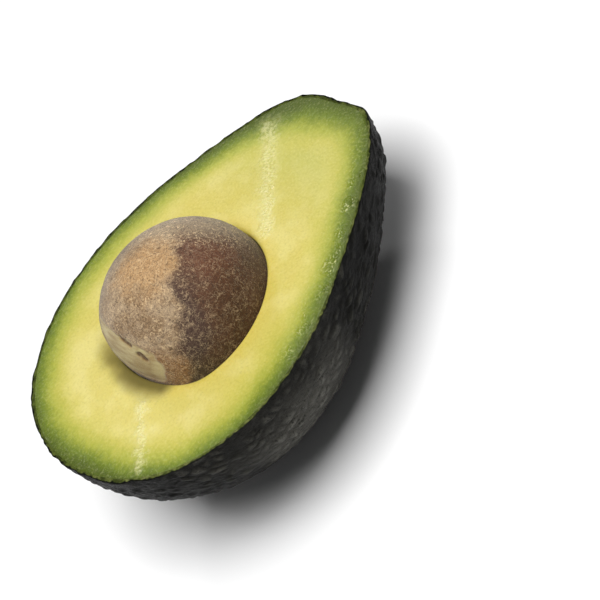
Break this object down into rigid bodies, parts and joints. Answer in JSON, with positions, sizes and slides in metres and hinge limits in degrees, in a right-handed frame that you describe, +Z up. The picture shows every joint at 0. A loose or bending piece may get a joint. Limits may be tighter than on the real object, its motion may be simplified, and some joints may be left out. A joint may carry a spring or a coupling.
{
  "type": "avocado half",
  "caption": "Half of a ripe avocado cut lengthwise, its pit still in the hollow, lying on its pebbled dark back with the cut face up.",
  "frame": {"origin": "centre of the small flat spot on the back of the skin, which the half rests on", "axes": "+X along the fruit towards its narrower stem end, +Y across the cut face, +Z up, out of the cut face"},
  "size_m": [0.0978, 0.0724, 0.0545],
  "materials": {
    "skin": "pebbled near-black peel with a dull satin sheen",
    "flesh": "moist pale yellow cut flesh turning green towards the rim",
    "pit": "dry mottled brown seed coat, torn to a paler tan on one side"
  },
  "bodies": {
    "root": {"skin": "skin", "flesh": "flesh", "pit": "pit"}
  },
  "joints": []
}
